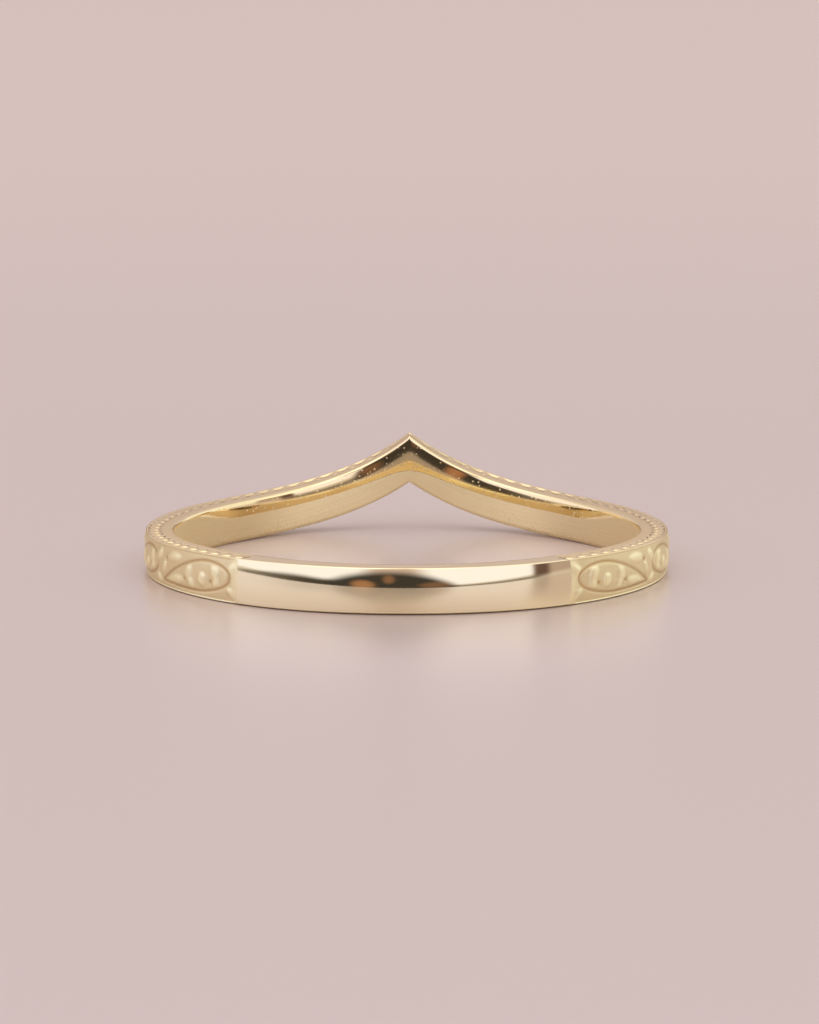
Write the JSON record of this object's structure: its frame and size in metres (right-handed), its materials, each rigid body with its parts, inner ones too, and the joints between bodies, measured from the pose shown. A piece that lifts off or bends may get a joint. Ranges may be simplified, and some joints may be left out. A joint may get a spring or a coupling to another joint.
{
  "type": "chevron ring",
  "caption": "One-piece yellow gold band whose front rises to a point, with an engraved running pattern and a plain polished back.",
  "frame": {"origin": "centre of the finger hole, on the plane that the ring lies on", "axes": "+Z along the finger and up from the surface, +Y towards the point of the V, -Y towards the plain back"},
  "size_m": [0.0198, 0.0198, 0.0036],
  "materials": {
    "gold": "polished yellow gold, satin in the engraving and brushed inside"
  },
  "bodies": {
    "root": {"band": "gold"}
  },
  "joints": []
}
